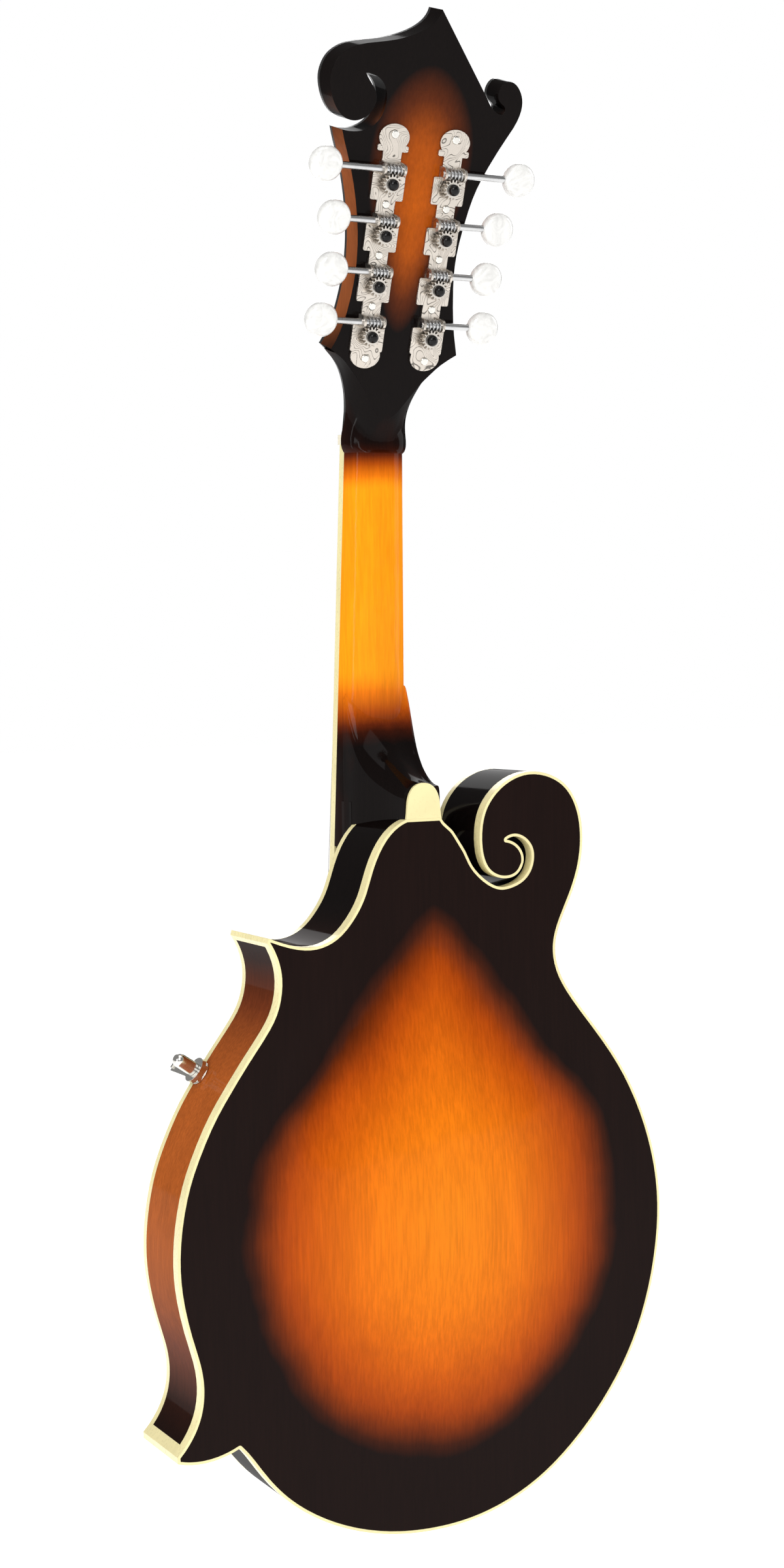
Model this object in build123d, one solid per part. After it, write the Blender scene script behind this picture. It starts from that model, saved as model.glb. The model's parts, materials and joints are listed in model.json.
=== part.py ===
"""F-style mandolin: carved plates, scroll body, bolt-free dovetail neck and geared tuners.

Frame: millimetres, +Z up the neck to the headstock, strings on -Y, treble side on +X.
The origin is the middle of the fingerboard's surface where it meets the nut.
"""
from build123d import *
import os
from math import sin, cos, tan, radians, degrees, pi, hypot, atan2

os.makedirs("parts", exist_ok=True)

# ---------------------------------------------------------------- driving dimensions
SCALE_LENGTH = 352.4          # nut to saddle
NECK_TILT = 3.2               # fingerboard plane against the body, degrees
HEAD_TILT = 19.2              # headstock plane against the body, degrees
NUT_HALF_WIDTH = 14.6         # half width of nut and fingerboard at the nut
JOINT_HALF_WIDTH = 18.4       # half width of the fingerboard at the body joint
JOINT_DISTANCE = 204.2        # nut to body joint, at the 15th fret
BOARD_THICKNESS = 4.8
NUT_THICKNESS = 4.6
STRING_AT_NUT = 1.5           # string centre in front of the fingerboard at the nut
STRING_AT_SADDLE = 4.8        # the same at the saddle

TOP_EDGE_Y = 10.5             # front face of the top plate at its edge
BACK_EDGE_Y = 52.0            # rear face of the back plate at its edge
PLATE_THICKNESS = 3.6
TOP_ARCH = 15.0               # rise of the top's arch over its edge
BACK_ARCH = 13.0
BINDING_WIDTH = 1.3
TOP_BINDING_DEPTH = 3.6
BACK_BINDING_DEPTH = 5.6
RIM_THICKNESS = 2.3           # binding included
GLUE_GAP = 0.2                # glue line between the plates and what carries them
LINING_DEPTH = 8.0
HEEL_Z = -176.5               # end of the body where the heel meets it
TAIL_Z = -513.3
BODY_AXIS_Z = -365.0          # centre of the plates' arches

HEAD_WOOD = 11.5              # thickness of the headstock's wood
OVERLAY = 2.1                 # headstock veneer
HEAD_BACK_ORIGIN = (0, 16.2, 2.0)

POST_PITCH = 23.0
FIRST_POST = 48.4             # up the headstock from its origin
POST_HALF_SPACING = 15.6
POST_RADIUS = 3.0
POST_FIT = 0.07
BUTTON_REACH = (42.2, 40.2, 42.2, 49.6)   # button centres off the centre line, low to high
BUTTON_RADIUS = 7.9
BUTTON_THICKNESS = 7.6
TUNER_PLATE = 1.2
SHAFT_RADIUS = 1.6
SHAFT_FIT = 0.06
GEAR_TEETH = 15
THREAD_PITCH = 1.8
GEAR_PITCH_RADIUS = GEAR_TEETH * THREAD_PITCH / (2 * pi)
WORM_PITCH_RADIUS = 2.2
WORM_TIP_RADIUS = 2.7
WORM_LENGTH = 7.2
MESH_GAP = 0.15               # extra distance between worm and gear, for running clearance
CENTRE_DISTANCE = GEAR_PITCH_RADIUS + WORM_PITCH_RADIUS + MESH_GAP
GEAR_MID_HEIGHT = 4.2         # worm axis and gear's middle plane over the headstock's rear face
GEAR_THICKNESS = 3.0
LUG_INNER = 4.4
LUG_THICKNESS = 1.2

COURSES = (-11.0, -3.7, 3.7, 11.0)        # course centres at the nut
SADDLE_COURSES = (-19.5, -6.5, 6.5, 19.5)
NUT_PAIR = 1.1                # half the gap between the two strings of a course
SADDLE_PAIR = 1.4
STRING_RADII = (0.50, 0.33, 0.19, 0.14)   # bass to treble courses
BRIDGE_STUD_X = 27.0
BRIDGE_STUD_RADIUS = 2.0
SADDLE_TRAVEL = 1.5
TAIL_HOOK_Z = -480.0
TAIL_HOOK_Y = 1.6
WINDING = (-21.4, -18.6)      # span of a string's turns on its post, behind the headstock's rear
WINDING_RADIUS = 3.1

# ---------------------------------------------------------------- frames
neck_dir = Vector(0, sin(radians(NECK_TILT)), cos(radians(NECK_TILT)))
neck_out = Vector(0, -cos(radians(NECK_TILT)), sin(radians(NECK_TILT)))
head_dir = Vector(0, sin(radians(HEAD_TILT)), cos(radians(HEAD_TILT)))
head_rear = Vector(0, cos(radians(HEAD_TILT)), -sin(radians(HEAD_TILT)))

board = Plane(origin=(0, 0, 0), x_dir=(1, 0, 0), z_dir=neck_out)
head_front = Plane(origin=HEAD_BACK_ORIGIN, x_dir=(1, 0, 0), z_dir=-head_rear)
head_back = Plane(origin=HEAD_BACK_ORIGIN, x_dir=(-1, 0, 0), z_dir=head_rear)


def at_depth(y):
    """Sketch plane parallel to the body's plates: x is X, y is Z, the normal is -Y."""
    return Plane(origin=(0, y, 0), x_dir=(1, 0, 0), z_dir=(0, -1, 0))


def slab(face, y_front, y_back):
    """Prism of a face drawn in X and Z, between two depths."""
    return extrude(at_depth(y_back) * face, amount=y_back - y_front, dir=(0, -1, 0))


def block(x, y, z):
    """Box between two corners, each given as a (low, high) pair."""
    size = [high - low for low, high in (x, y, z)]
    centre = [(high + low) / 2 for low, high in (x, y, z)]
    return Pos(*centre) * Box(*size)


def bar(plane, x, y, z):
    """Box between corners given in a plane's own coordinates."""
    return plane * block(x, y, z)


def rod(start, end, radius):
    """Round bar between two points."""
    axis = Vector(*end) - Vector(*start)
    return Solid.make_cylinder(radius, axis.length, Plane(origin=start, z_dir=axis))


def outline(*edges):
    return Face(Wire([edge for edge in edges]))


def curve(points, **options):
    return Spline(*points, **options).edge()


def line(start, end):
    return Line(start, end).edge()


def save(name, *shapes):
    """Write one node: one solid, or a group of separate solids."""
    solids = [solid for shape in shapes for solid in shape.solids()]
    node = solids[0] if len(solids) == 1 else Compound(children=solids)
    node.label = name
    export_step(node, f"parts/{name}.step")


def fret_distance(number):
    return SCALE_LENGTH * (1 - 2 ** (-number / 12))


def board_half_width(distance):
    return NUT_HALF_WIDTH + (JOINT_HALF_WIDTH - NUT_HALF_WIDTH) * distance / JOINT_DISTANCE


# ---------------------------------------------------------------- body outline
heel_half = 9.0
upper_tip = ((80.3, -227.0), (80.9, -229.3))
lower_tip = ((129.6, -456.3), (129.4, -459.3))
notch = (99.3, -457.2)
slit_end = (-44.0, -188.5)

upper_bout = [
    (heel_half, HEEL_Z), (17.5, -181.5), (24.4, -190.5), (29, -201), (33, -212),
    (39, -221.5), (47, -229), (57, -232.4), (68, -231.3), upper_tip[0],
]
waist = [
    upper_tip[1], (77.4, -236), (75.4, -244), (75.6, -252.5), (78.3, -262), (83.5, -270.5),
    (91.5, -281), (100.2, -293), (108.5, -305.5), (116, -320), (121.8, -334.5), (125.4, -349),
    (127.2, -363), (127.2, -378), (125.2, -392), (121.6, -406.5), (118.2, -419),
    (117.3, -429), (119, -439.5), (123.4, -448.8), lower_tip[0],
]
point_underside = [lower_tip[1], (121, -461), (112, -460.8), (104, -459), notch]
lower_bout_and_scroll = [
    notch, (95.5, -461.5), (89, -470.5), (77.5, -484), (61, -496.5), (41, -506),
    (20, -511.5), (-1, TAIL_Z), (-22, -511.8), (-42, -506.5), (-61, -497.3), (-80, -482.8),
    (-98, -463.5), (-112, -442), (-121.8, -418), (-127.2, -394), (-128.8, -371.5),
    (-126, -348.5), (-118.5, -324.5), (-106.5, -301), (-91.5, -280.5), (-79, -264.5),
    (-72, -252), (-70.3, -240.5), (-74, -228), (-80.5, -214.5), (-85, -201), (-86.3, -188),
    (-84, -174.5), (-77.3, -163.8), (-67.5, -158.2), (-56, -156.8), (-45.5, -160),
    (-37, -166.5), (-32, -174), (-29.8, -182.5), (-29.6, -190), (-30.8, -197),
    (-34, -202.8), (-39, -206), (-44, -206.8), (-49, -205.5), (-52.3, -202),
    (-53.4, -198), (-52, -193.5), (-48.3, -190), slit_end,
]
slit_wall = [
    slit_end, (-50.5, -187.4), (-55, -190), (-57.6, -194.3), (-57.7, -199), (-55.8, -204),
    (-52.3, -207.6), (-47, -210), (-40.3, -210.7), (-35.4, -208.9), (-30, -205),
    (-25, -199.3), (-21.5, -192.5), (-18, -187.2), (-14.5, -182.3), (-10.5, -178.8),
    (-heel_half, HEEL_Z),
]
body_face = outline(
    line((-heel_half, HEEL_Z), (heel_half, HEEL_Z)), curve(upper_bout), line(*upper_tip),
    curve(waist), line(*lower_tip), curve(point_underside), curve(lower_bout_and_scroll),
    curve(slit_wall),
)


def inset(face, amount):
    """Face drawn inside another, a constant distance in, with plain spline edges."""
    edges = []
    for edge in offset(face, amount=-amount).face().outer_wire().edges():
        count = max(2, round(edge.length / 2.5))
        points = [edge @ (k / count) for k in range(count + 1)]
        edges.append(Spline(*points, tangents=(edge % 0, edge % 1)).edge())
    return Face(Wire(edges))


plate_face = inset(body_face, BINDING_WIDTH)
inner_face = inset(body_face, RIM_THICKNESS)

# air space inside the linings, clear of the end blocks and the point blocks
air_points = [
    (0, -219), (26, -222), (42, -231), (56, -241), (66, -249), (71, -262), (84, -283),
    (99, -304), (110, -326), (117, -348), (119.5, -370), (117, -393), (111, -415),
    (107, -432), (98, -448), (84, -468), (68, -482), (48, -493), (24, -499.5), (0, -501.5),
    (-25, -500), (-50, -492), (-72, -478), (-92, -458), (-106, -436), (-115, -413),
    (-119.5, -391), (-121, -371), (-118, -350), (-111, -328), (-100, -306), (-86, -286),
    (-73, -268), (-65, -252), (-62, -240), (-58, -229), (-45, -221), (-22, -218),
]
air_face = Face(Wire([Spline(*air_points, periodic=True).edge()]))

# ---------------------------------------------------------------- arched plates
GRID_X = 28
GRID_Z = 40
HALF_SPAN = 140.0
SPAN_Z = (-530.0, -145.0)


def arch_rise(x, z, height):
    """Height of the carved arch over the plate's edge: a cosine dome with a flat margin."""
    blend = min(max((-245 - z) / 125, 0), 1)
    half_width = 62 + 54 * blend * blend * (3 - 2 * blend)
    half_length = 148 if z > BODY_AXIS_Z else 138
    reach = hypot(x / half_width, (z - BODY_AXIS_Z) / half_length)
    return height * (1 + cos(pi * reach)) / 2 if reach < 1 else 0.0


def arch_face(edge_y, height, direction):
    """Smooth arched surface over the whole body, rising towards direction (-1 or +1 in Y)."""
    rows = []
    for j in range(GRID_Z + 1):
        z = SPAN_Z[0] + (SPAN_Z[1] - SPAN_Z[0]) * j / GRID_Z
        row = []
        for i in range(GRID_X + 1):
            x = -HALF_SPAN + 2 * HALF_SPAN * i / GRID_X
            row.append(Vector(x, edge_y + direction * arch_rise(x, z, height), z))
        rows.append(row)
    return Face.make_surface_from_array_of_points(rows, tol=0.02)


top_outer = arch_face(TOP_EDGE_Y, TOP_ARCH, -1)
back_outer = arch_face(BACK_EDGE_Y, BACK_ARCH, 1)
front_space = extrude(top_outer, amount=60, dir=(0, -1, 0))
top_layer = extrude(top_outer, amount=PLATE_THICKNESS, dir=(0, 1, 0))
back_layer = extrude(back_outer, amount=PLATE_THICKNESS, dir=(0, -1, 0))
under_top = Pos(0, PLATE_THICKNESS + GLUE_GAP, 0) * extrude(top_outer, amount=9, dir=(0, 1, 0))

rim_front = TOP_EDGE_Y + PLATE_THICKNESS + GLUE_GAP
rim_back = BACK_EDGE_Y - PLATE_THICKNESS - GLUE_GAP


def f_hole(side):
    """Sound hole: a slanted f with a round eye at each end."""
    spine = Spline((50, -322), (43.5, -313), (37, -318), (39, -330), (49, -352), (60, -374),
                   (63, -388), (57, -394), (50, -386)).edge()
    eyes = [((50.2, -322.6), 3.6), ((50.4, -385.0), 4.4)]
    tools = []
    samples = 26
    widths = [1.5 + 1.6 * sin(pi * k / samples) for k in range(samples + 1)]
    left = []
    right = []
    for k in range(samples + 1):
        p = spine @ (k / samples)
        t = spine % (k / samples)
        left.append((p.X - t.Y * widths[k], p.Y + t.X * widths[k]))
        right.append((p.X + t.Y * widths[k], p.Y - t.X * widths[k]))
    ribbon = outline(curve(left), line(left[-1], right[-1]), curve(right[::-1]),
                     line(right[0], left[0]))
    tools.append(ribbon)
    for centre, radius in eyes:
        tools.append(Pos(*centre) * Circle(radius))
    cutters = [slab(tool, TOP_EDGE_Y - 30, TOP_EDGE_Y + 20) for tool in tools]
    cutter = cutters[0] + cutters[1] + cutters[2]
    return cutter if side > 0 else mirror(cutter, about=Plane.YZ)


top_plate = slab(plate_face, TOP_EDGE_Y - 25, TOP_EDGE_Y + 15) & top_layer
top_plate = top_plate - f_hole(1) - f_hole(-1)
back_plate = slab(plate_face, BACK_EDGE_Y - 15, BACK_EDGE_Y + 25) & back_layer
binding_ring = body_face - plate_face

# ---------------------------------------------------------------- rim, bindings, blocks
top_binding = slab(binding_ring, TOP_EDGE_Y, TOP_EDGE_Y + TOP_BINDING_DEPTH)
back_binding = slab(binding_ring, BACK_EDGE_Y - BACK_BINDING_DEPTH, BACK_EDGE_Y)
tenon = block((-10, 10), (16, 45), (-198, HEEL_Z + 1))
tail_screw_places = [(-9, 20), (9, 20), (0, 41)]
end_pin_y = 31.0
bracket_place = Vector(99.4, 16.0, -291.9)
bracket_out = Vector(0.82, 0, 0.57).normalized()


def rim_holes(radius_pin, radius_screw):
    """Bores through the tail of the rim and block for the end pin and tailpiece screws."""
    bores = [rod((0, end_pin_y, TAIL_Z - 3), (0, end_pin_y, TAIL_Z + 20), radius_pin)]
    for x, y in tail_screw_places:
        bores.append(rod((x, y, TAIL_Z - 3), (x, y, TAIL_Z + 14), radius_screw))
    return bores


rim_body = slab(body_face, rim_front, rim_back) - slab(inner_face, rim_front, rim_back)
cap_strip = slab(binding_ring, TOP_EDGE_Y + TOP_BINDING_DEPTH, BACK_EDGE_Y - BACK_BINDING_DEPTH)
upper_point_cap = cap_strip & block((76.5, 90), (0, 60), (-231.4, -222))
lower_point_cap = cap_strip & block((120, 135), (0, 60), (-470, -452.5))
rim = rim_body - top_binding - back_binding - upper_point_cap - lower_point_cap - tenon
bracket_bore = rod(bracket_place - bracket_out * 12, bracket_place + bracket_out * 3, 1.5)
for bore in rim_holes(4.0, 1.35) + [bracket_bore]:
    rim = rim - bore


def block_between(x, z, y_front, y_back):
    """Part of the space between the rim and the air space that lies inside a box."""
    region = slab(inner_face - air_face, y_front, y_back)
    return region & block(x, (y_front, y_back), z)


head_block = block_between((-100, 60), (-228, -150), rim_front, rim_back) - tenon
upper_point_block = block_between((60.2, 100), (-260, -220), rim_front, rim_back)
lower_point_block = block_between((100, 140), (-470, -436), rim_front, rim_back)
tail_block = block_between((-24, 24), (-520, -495), rim_front, rim_back)
for bore in rim_holes(4.0, 1.35):
    tail_block = tail_block - bore

lining_keepouts = [
    block((-100, 60.2), (0, 60), (-228.1, -150)), block((60.1, 100), (0, 60), (-260.1, -220)),
    block((99.9, 140), (0, 60), (-470, -435.9)), block((-24.1, 24.1), (0, 60), (-520, -495)),
]


def lining(y_front, y_back):
    """Kerfed strip that widens the glue face between rim and plate, cut between blocks."""
    strip = slab(inner_face - air_face, y_front, y_back)
    for keepout in lining_keepouts:
        strip = strip - keepout
    return strip - bracket_bore


top_lining = lining(rim_front, rim_front + LINING_DEPTH)
back_lining = lining(rim_back - LINING_DEPTH, rim_back)


def tone_bar(top_end, low_end):
    """Carved spruce bar that follows the inside of the top."""
    axis = Vector(low_end[0] - top_end[0], low_end[1] - top_end[1])
    centre = ((top_end[0] + low_end[0]) / 2, (top_end[1] + low_end[1]) / 2)
    strip = Pos(*centre) * Rot(0, 0, axis.get_angle(Vector(1, 0)) * -1) * Rectangle(axis.length, 6)
    return slab(strip, -30, 30) & under_top


bass_tone_bar = tone_bar((-22, -282), (-52, -440))
treble_tone_bar = tone_bar((20, -282), (44, -440))

cap_end = [(9.3, -177), (8.6, -171), (7.4, -165), (4.6, -161.3), (0, -159.9)]
cap_left = [(-x, z) for x, z in cap_end[-2::-1]]
heel_cap_face = outline(curve(cap_end + cap_left), line((-9.3, -177), (9.3, -177)))
heel_cap = slab(heel_cap_face, BACK_EDGE_Y - 1.6, BACK_EDGE_Y) - slab(body_face, 45, 60)

# ---------------------------------------------------------------- headstock outline
# each point is (across towards treble, up the headstock)
treble_scroll = [
    (-0.4, 194.3), (1.6, 189.6), (4.6, 186.6), (10.4, 183.1), (16.6, 180.6), (23, 178.8),
    (35.4, 176.3), (40.2, 174.8), (44.6, 172.3), (47.6, 169.4), (49.6, 165.4), (50.4, 160.8),
    (49.5, 155.4), (47, 149.8), (43.8, 145.9), (40.2, 143.7), (35.4, 143.2), (31, 145),
    (28, 148), (26.5, 152.2), (27.7, 157), (30.8, 160.8), (33.2, 163.9),
]
treble_slit = [
    (33.2, 163.9), (27.4, 163), (23.4, 159.8), (21.5, 155), (21.8, 149.6), (24, 144.4),
    (27, 141.4), (30.4, 139.6), (34.6, 138.6), (41.5, 138.8),
]
treble_edge = [
    (41.5, 138.8), (38.6, 131.4), (36, 125.4), (33.2, 118), (30.6, 109.6), (28.4, 100.6),
    (26.9, 92.4), (26, 84), (25.7, 76), (26.2, 67.6), (27.2, 59.4), (29.2, 50.4), (33, 41),
]
bass_edge = [
    (-33, 41), (-31.2, 47), (-29.2, 54.6), (-26.8, 67.6), (-25.5, 78), (-25.3, 86),
    (-26.1, 95.4), (-27.6, 105), (-30, 115.4), (-33.4, 124.4), (-38, 133.8), (-41.6, 140.4),
    (-45.4, 147), (-47.8, 153.4), (-48, 158.6), (-45.8, 163.6), (-41.6, 166.8),
    (-37.6, 166.5), (-35.4, 163.6), (-35, 160), (-36.6, 157.4), (-39.2, 155.6), (-38.6, 152.4),
]
bass_notch = [(-38.6, 152.4), (-34.6, 153.2), (-30.8, 156.6), (-27.8, 160.6)]
neck_flare = [(33, 41), (29.6, 38.4), (26, 35), (22.4, 30.6), (19.4, 25), (17, 18), (15.4, 9)]
tongue = [(33, 41), (28.2, 37.9), (24.4, 35), (20.5, 31.2), (16.4, 26.8), (12.1, 21.1),
          (7.8, 15), (4, 10.8), (0, 9.4)]
upper_head = [
    curve(treble_scroll), curve(treble_slit), curve(treble_edge), curve(bass_edge),
    curve(bass_notch), line(bass_notch[-1], treble_scroll[0]),
]


def mirrored(points):
    return [(-x, s) for x, s in reversed(points)]


def head_prism(face, low, high):
    """Prism in the headstock's frame, between two distances in front of its rear face."""
    return extrude(head_front * Pos(0, 0, low) * face, amount=high - low, dir=-head_rear)


tongue_face = outline(*upper_head, curve(tongue + mirrored(tongue)[1:]))
foot = -6.0
overlay_face = outline(
    *upper_head, curve(neck_flare), line(neck_flare[-1], (NUT_HALF_WIDTH, foot)),
    line((NUT_HALF_WIDTH, foot), (-NUT_HALF_WIDTH, foot)),
    line((-NUT_HALF_WIDTH, foot), (-neck_flare[-1][0], neck_flare[-1][1])),
    curve(mirrored(neck_flare)),
)

# ---------------------------------------------------------------- neck
FLANK = 3.0                   # how far the loft stands proud before its front is planed


def neck_section(plane, front, half_width, depth, power):
    """Rounded neck section: a superellipse below a flat front, in a plane across the neck."""
    count = 12
    points = []
    for k in range(count + 1):
        angle = pi * k / count
        across = half_width * abs(cos(angle)) ** (2 / power) * (1 if k < count / 2 else -1)
        down = depth * abs(sin(angle)) ** (2 / power)
        points.append((across, front + down))
    points[0] = (half_width, front)
    points[-1] = (-half_width, front)
    rounded = Spline(*points, tangents=((0, 1), (0, -1))).edge()
    proud = front - FLANK
    face = outline(
        rounded, line((-half_width, front), (-half_width, proud)),
        line((-half_width, proud), (half_width, proud)), line((half_width, proud), (half_width, front)),
    )
    return plane * face


def across_neck(t):
    """Plane across the neck; its second axis runs from the fingerboard to the rear."""
    return Plane(origin=neck_dir * t, x_dir=(1, 0, 0), z_dir=neck_dir)


def across_head(s):
    """Plane across the headstock; depth 0 is its rear face."""
    return Plane(origin=Vector(*HEAD_BACK_ORIGIN) + head_dir * s, x_dir=(1, 0, 0), z_dir=head_dir)


shaft_stations = [      # along the neck, depth under the fingerboard
    (-192, 16.0), (-150, 15.0), (-105, 14.6), (-60, 13.9), (-22, 13.4), (-4, 13.3),
]
flare_stations = [      # up the headstock, half width, depth, fullness
    (9.5, 15.5, 11.6, 2.0), (15, 16.4, 12.7, 2.1), (21, 18.1, 13.7, 2.4),
    (27, 20.5, 14.8, 2.7), (33, 24.6, 16.6, 3.0), (39, 31.0, 18.8, 3.3),
]
sections = [
    neck_section(across_neck(t), BOARD_THICKNESS, board_half_width(-t), depth, 2.15)
    for t, depth in shaft_stations
]
sections += [
    neck_section(across_head(s), -HEAD_WOOD, half, depth, power)
    for s, half, depth, power in flare_stations
]
joint = len(shaft_stations)
shaft = loft(sections[:joint]) + loft(sections[joint - 1:])
behind_head = bar(head_back, (-60, 60), (0, 200), (0, 40))
before_board = bar(board, (-60, 60), (-400, 260), (-BOARD_THICKNESS, 60))
before_head = bar(head_front, (-60, 60), (-30, 220), (HEAD_WOOD, 60))

heel_stations = [       # depth, half width, top of the arch
    (4, 17.6, -112), (12, 16.6, -130), (20, 15.0, -143), (30, 12.6, -151.5),
    (40, 10.6, -157), (BACK_EDGE_Y - 1.6, 9.3, -159.9),
]


def heel_section(y, half, crown):
    low = -184.0
    shoulder = crown - 0.75 * half
    arch = Spline((half, shoulder), (0.72 * half, crown - 0.2 * half), (0, crown),
                  (-0.72 * half, crown - 0.2 * half), (-half, shoulder),
                  tangents=((0, 1), (0, -1))).edge()
    face = outline(arch, line((-half, shoulder), (-half, low)), line((-half, low), (half, low)),
                   line((half, low), (half, shoulder)))
    return at_depth(y) * face


heel = loft([heel_section(*station) for station in heel_stations])
head_wood = head_prism(tongue_face, 0, HEAD_WOOD)
board_end = fret_distance(29) + 6
rest = block((-17, 17), (-16, 12), (-SCALE_LENGTH, -170)) & front_space
rest = rest & bar(board, (-20, 20), (-board_end + 3, -100), (-40, 0))
neck_wood = shaft - behind_head + head_wood
neck_wood = neck_wood + heel + rest
neck_wood = neck_wood - before_board - before_head
neck_wood = neck_wood - slab(body_face, TOP_EDGE_Y, BACK_EDGE_Y) - heel_cap
neck_wood = neck_wood + tenon

# truss rod: a channel under the fingerboard, with the nut in a pocket on the headstock
ROD_DEPTH = 9.2               # rod axis below the fingerboard's surface
ROD_RADIUS = 2.4
TRUSS_NUT_RADIUS = 3.4
truss_nut_span = (11.5, 16.2)  # ends short of the tilted underside of the cover


def along_neck(depth, low, high, radius):
    """Round bar along the neck, below the fingerboard's surface."""
    base = board.from_local_coords(Vector(0, low, -depth))
    tip = board.from_local_coords(Vector(0, high, -depth))
    return rod(base, tip, radius)


rod_channel = bar(board, (-2.6, 2.6), (-182, 11.3), (-ROD_DEPTH - 2.6, -BOARD_THICKNESS + 1))
nut_pocket = along_neck(ROD_DEPTH, 11.2, 30, TRUSS_NUT_RADIUS + 0.6)
nut_pocket = nut_pocket + bar(board, (-4, 4), (11.2, 30), (-ROD_DEPTH, 2))
truss_rod = along_neck(ROD_DEPTH, -180, 19.5, ROD_RADIUS)
hexagon = RegularPolygon(TRUSS_NUT_RADIUS, 6)
across_nut = Plane(origin=board.from_local_coords(Vector(0, truss_nut_span[0], -ROD_DEPTH)),
                   x_dir=(1, 0, 0), z_dir=neck_dir)
truss_nut = extrude(across_nut * hexagon, amount=truss_nut_span[1] - truss_nut_span[0])
truss_nut = truss_nut - along_neck(ROD_DEPTH, 5, 25, ROD_RADIUS + 0.05)

neck_wood = neck_wood - rod_channel - nut_pocket
overlay = head_prism(overlay_face, HEAD_WOOD, HEAD_WOOD + OVERLAY)
overlay = overlay - bar(board, (-60, 60), (-40, NUT_THICKNESS + 0.1), (-40, 60)) - nut_pocket

# ---------------------------------------------------------------- fingerboard, frets, nut
BOARD_BINDING = 1.5
tongue_frets = 23             # beyond this fret only the treble half of the board goes on
tongue_start = fret_distance(tongue_frets) + 4.6


def board_shape(inset):
    """Fingerboard in its own plane: tapered, with a tongue under the treble strings."""
    full = board_half_width(tongue_start) - inset
    start = NUT_HALF_WIDTH - inset
    end = board_half_width(board_end) - inset
    points = [(-start, 0), (start, 0), (end, -board_end + inset), (6 + inset, -board_end + inset),
              (1 + inset, -tongue_start - 7 + inset), (-full + 3, -tongue_start + inset),
              (-full, -tongue_start + 2 + inset)]
    return Face(Polyline(*points, close=True).wire())


board_prism = extrude(board * board_shape(0), amount=BOARD_THICKNESS, dir=-neck_out)
board_core = extrude(board * board_shape(BOARD_BINDING), amount=BOARD_THICKNESS, dir=-neck_out)
board_binding = board_prism - board_core

FRET_WIDTH = 1.1
FRET_CROWN = 0.9
TANG = 0.55
TANG_DEPTH = 1.6


def fret_span(distance):
    """Low and high end of a fret: the last ones cross only the tongue."""
    half = board_half_width(distance) - BOARD_BINDING - 0.1
    if distance > tongue_start:
        return 8.0, half
    return -half, half


fret_wires = []
for number in range(1, 30):
    distance = fret_distance(number)
    low, high = fret_span(distance)
    slot = bar(board, (low, high), (-distance - TANG / 2, -distance + TANG / 2), (-TANG_DEPTH, 0.2))
    board_core = board_core - slot
    crown = Polyline((-FRET_WIDTH / 2, 0), (-FRET_WIDTH / 2, 0.35), (-FRET_WIDTH / 4, FRET_CROWN),
                     (FRET_WIDTH / 4, FRET_CROWN), (FRET_WIDTH / 2, 0.35), (FRET_WIDTH / 2, 0),
                     (TANG / 2, 0), (TANG / 2, -TANG_DEPTH), (-TANG / 2, -TANG_DEPTH),
                     (-TANG / 2, 0), close=True)
    start = board.from_local_coords(Vector(low, -distance, 0))
    profile = Plane(origin=start, x_dir=neck_dir, z_dir=(1, 0, 0))
    if (profile.y_dir - neck_out).length > 1:
        profile = Plane(origin=start, x_dir=-neck_dir, z_dir=(1, 0, 0))
    fret_wires.append(extrude(profile * Face(crown.wire()), amount=high - low, dir=(1, 0, 0)))

position_dots = []
for number, across in [(5, 0), (7, 0), (10, 0), (12, -5), (12, 5), (15, 0)]:
    middle = (fret_distance(number) + fret_distance(number - 1)) / 2
    dot = board * Pos(across, -middle, -1.5) * Cylinder(2.4, 1.5, align=(Align.CENTER, Align.CENTER, Align.MIN))
    board_core = board_core - dot
    position_dots.append(dot)


POST_STRING = -(WINDING[0] + WINDING[1]) / 2          # string height on the posts


def string_paths():
    """Each string's bends from tailpiece to post, and its radius, bass to treble."""
    paths = []
    for course, at_nut in enumerate(COURSES):
        radius = STRING_RADII[course]
        for half in (-1, 1):
            index = 2 * course + (half + 1) // 2
            side = 1 if course > 1 else -1
            rank = 7 - index if side > 0 else index
            at_saddle = SADDLE_COURSES[course] + half * SADDLE_PAIR
            beside_post = side * (POST_HALF_SPACING - WINDING_RADIUS - radius - 0.25)
            height = FIRST_POST + POST_PITCH * rank
            hook = Vector(at_saddle * 0.8, TAIL_HOOK_Y, TAIL_HOOK_Z + 1.4 + radius)
            saddle = board.from_local_coords(Vector(at_saddle, -SCALE_LENGTH, STRING_AT_SADDLE))
            over_nut = board.from_local_coords(Vector(at_nut + half * NUT_PAIR, NUT_THICKNESS / 2,
                                                      STRING_AT_NUT))
            post = head_front.from_local_coords(Vector(beside_post, height, POST_STRING))
            paths.append((hook, saddle, over_nut, post, radius))
    return paths


def string_slot(before, bend, after, radius, room):
    """Open slot under a string that bends over a point, with room on each side of the string."""
    half = radius + room
    reach = 7.0
    middle = Vector(bend.X - half, bend.Y + radius + 0.08, bend.Z)
    ends = []
    for end in (before, after):
        along = (Vector(0, end.Y, end.Z) - Vector(0, bend.Y, bend.Z)).normalized()
        ends.append(middle + along * reach)
    corners = [ends[0], middle, ends[1], Vector(middle.X, -40, ends[1].Z),
               Vector(middle.X, -40, ends[0].Z)]
    return extrude(Face(Polyline(*corners, close=True).wire()), amount=2 * half, dir=(1, 0, 0))


nut = bar(board, (-NUT_HALF_WIDTH, NUT_HALF_WIDTH), (0, NUT_THICKNESS), (-BOARD_THICKNESS, 2.2))
for hook, saddle, over_nut, post, radius in string_paths():
    nut = nut - string_slot(saddle, over_nut, post, radius, 0.4)

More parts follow.
